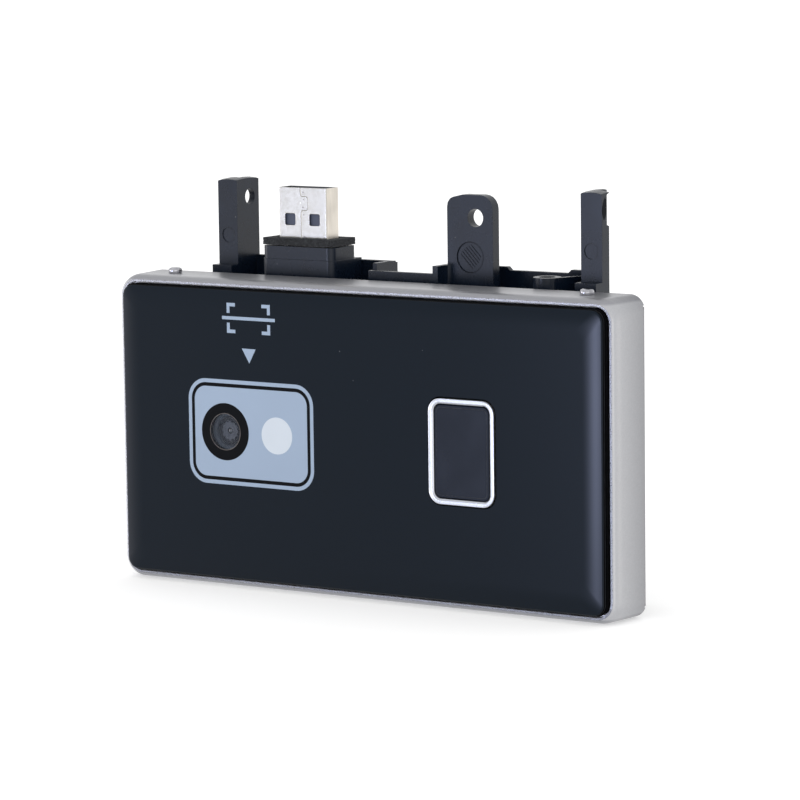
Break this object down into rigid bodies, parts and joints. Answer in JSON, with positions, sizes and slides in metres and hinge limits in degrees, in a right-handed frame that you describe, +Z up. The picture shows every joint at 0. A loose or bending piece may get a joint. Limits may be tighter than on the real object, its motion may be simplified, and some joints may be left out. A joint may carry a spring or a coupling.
{
  "type": "qr code access reader",
  "caption": "Slim rectangular add-on reader with a black glass face, scan window, fingerprint pad and silver frame; a deep black rear moulding carries posts, a tab and an upright plug.",
  "frame": {"origin": "at the bottom, in the middle of the width and of the whole depth; Z = 0 is the flat underside of the rear box and the shell", "axes": "+X to the right seen from the glass side, +Y towards the back, +Z up, the way the plug points"},
  "size_m": [0.1196, 0.0278, 0.083],
  "materials": {
    "cover_glass": "gloss black-backed glass with printed lines",
    "black_tape": "matte adhesive tape",
    "black_plastic": "satin moulded",
    "silver_paint": "satin silver paint on an alloy casting, with a bright cut rim",
    "steel": "bright",
    "plug_steel": "bright plated, rubbed",
    "foam": "open foam",
    "white_plastic": "satin",
    "gold": "gold plated",
    "lens_glass": "coated gloss",
    "board_green": "solder mask",
    "chip_black": "moulded",
    "pad_glass": "gloss dark",
    "brass": "turned",
    "ribbon_amber": "film"
  },
  "bodies": {
    "root": {"board_screw_1": "steel", "board_screw_2": "steel", "board_screw_3": "steel", "board_screw_4": "steel", "board_spacer_1": "brass", "board_spacer_2": "brass", "board_spacer_3": "brass", "camera_board": "board_green", "camera_holder": "black_plastic", "camera_lens": "lens_glass", "cover_glass": "cover_glass", "decoder_chip": "chip_black", "fingerprint_bezel": "steel", "fingerprint_pad": "pad_glass", "foam_gasket": "foam", "front_shell": "silver_paint", "glass_carrier": "black_plastic", "glass_tape": "black_tape", "image_sensor": "chip_black", "lamp_chip": "white_plastic", "lamp_diffuser": "white_plastic", "lamp_tube": "white_plastic", "lens_barrel": "black_plastic", "main_board": "board_green", "memory_chip": "chip_black", "pin_left": "steel", "pin_right": "steel", "plug_base": "black_plastic", "plug_board": "board_green", "plug_socket": "chip_black", "rear_housing": "black_plastic", "ribbon_socket": "chip_black", "sensor_board": "board_green", "sensor_body": "black_plastic", "sensor_ribbon": "ribbon_amber", "shell_screw_1": "steel", "shell_screw_2": "steel", "shell_screw_3": "steel", "shell_screw_4": "steel", "usb_contact_1": "gold", "usb_contact_2": "gold", "usb_contact_3": "gold", "usb_contact_4": "gold", "usb_shell": "plug_steel", "usb_tongue": "white_plastic"}
  },
  "joints": []
}
